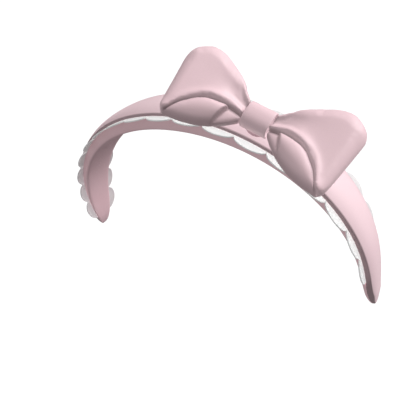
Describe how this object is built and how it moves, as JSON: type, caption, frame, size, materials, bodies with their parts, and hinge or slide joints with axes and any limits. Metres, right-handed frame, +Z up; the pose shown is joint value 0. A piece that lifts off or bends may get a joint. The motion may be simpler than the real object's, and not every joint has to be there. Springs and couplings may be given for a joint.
{
  "type": "padded hair band",
  "caption": "Padded, springy open hair band with a scalloped lace edge and a stuffed satin bow set to one side of the crown.",
  "frame": {"origin": "the middle of the head space, where the wearer's head holds the band: the centre of the hoop's curve, on its plane of symmetry", "axes": "+X to the side that carries the bow (the wearer's left), -Y the way the wearer faces, +Z up through the crown"},
  "size_m": [0.1496, 0.0358, 0.0946],
  "materials": {
    "cover_satin": "pale pink satin with a soft sheen",
    "bow_satin": "pale pink satin with a soft sheen",
    "lining_cloth": "matte dusky pink cloth",
    "lace": "matte white woven edging",
    "pad_foam": "open-cell foam",
    "spring_plastic": "natural plastic",
    "fibrefill": "loose polyester fibre",
    "binding_thread": "wound sewing thread",
    "felt": "pressed felt"
  },
  "bodies": {
    "crown": {"crown_cover": "cover_satin", "crown_foam_pad": "pad_foam", "crown_spring_core": "spring_plastic", "crown_lining": "lining_cloth", "crown_lace_front": "lace", "crown_lace_rear": "lace", "bow_knot": "bow_satin", "bow_waist": "bow_satin", "bow_waist_thread": "binding_thread", "bow_felt_pad": "felt", "bow_loop_left": "bow_satin", "bow_fold_left": "bow_satin", "bow_stuffing_left": "fibrefill", "bow_loop_right": "bow_satin", "bow_fold_right": "bow_satin", "bow_stuffing_right": "fibrefill"},
    "left_leg": {"left_cover": "cover_satin", "left_foam_pad": "pad_foam", "left_spring_core": "spring_plastic", "left_lining": "lining_cloth", "left_lace_front": "lace", "left_lace_rear": "lace"},
    "right_leg": {"right_cover": "cover_satin", "right_foam_pad": "pad_foam", "right_spring_core": "spring_plastic", "right_lining": "lining_cloth", "right_lace_front": "lace", "right_lace_rear": "lace"}
  },
  "joints": [
    {"name": "left_leg_flex", "type": "hinge", "parent": "crown", "child": "left_leg", "pos_m": [-0.05891, 0, 0.03734], "axis": [0, 1, 0], "range_deg": [0, 12], "stiffness_Nm_per_rad": 0.6},
    {"name": "right_leg_flex", "type": "hinge", "parent": "crown", "child": "right_leg", "pos_m": [0.05891, 0, 0.03734], "axis": [0, -1, 0], "range_deg": [0, 12], "stiffness_Nm_per_rad": 0.6}
  ]
}
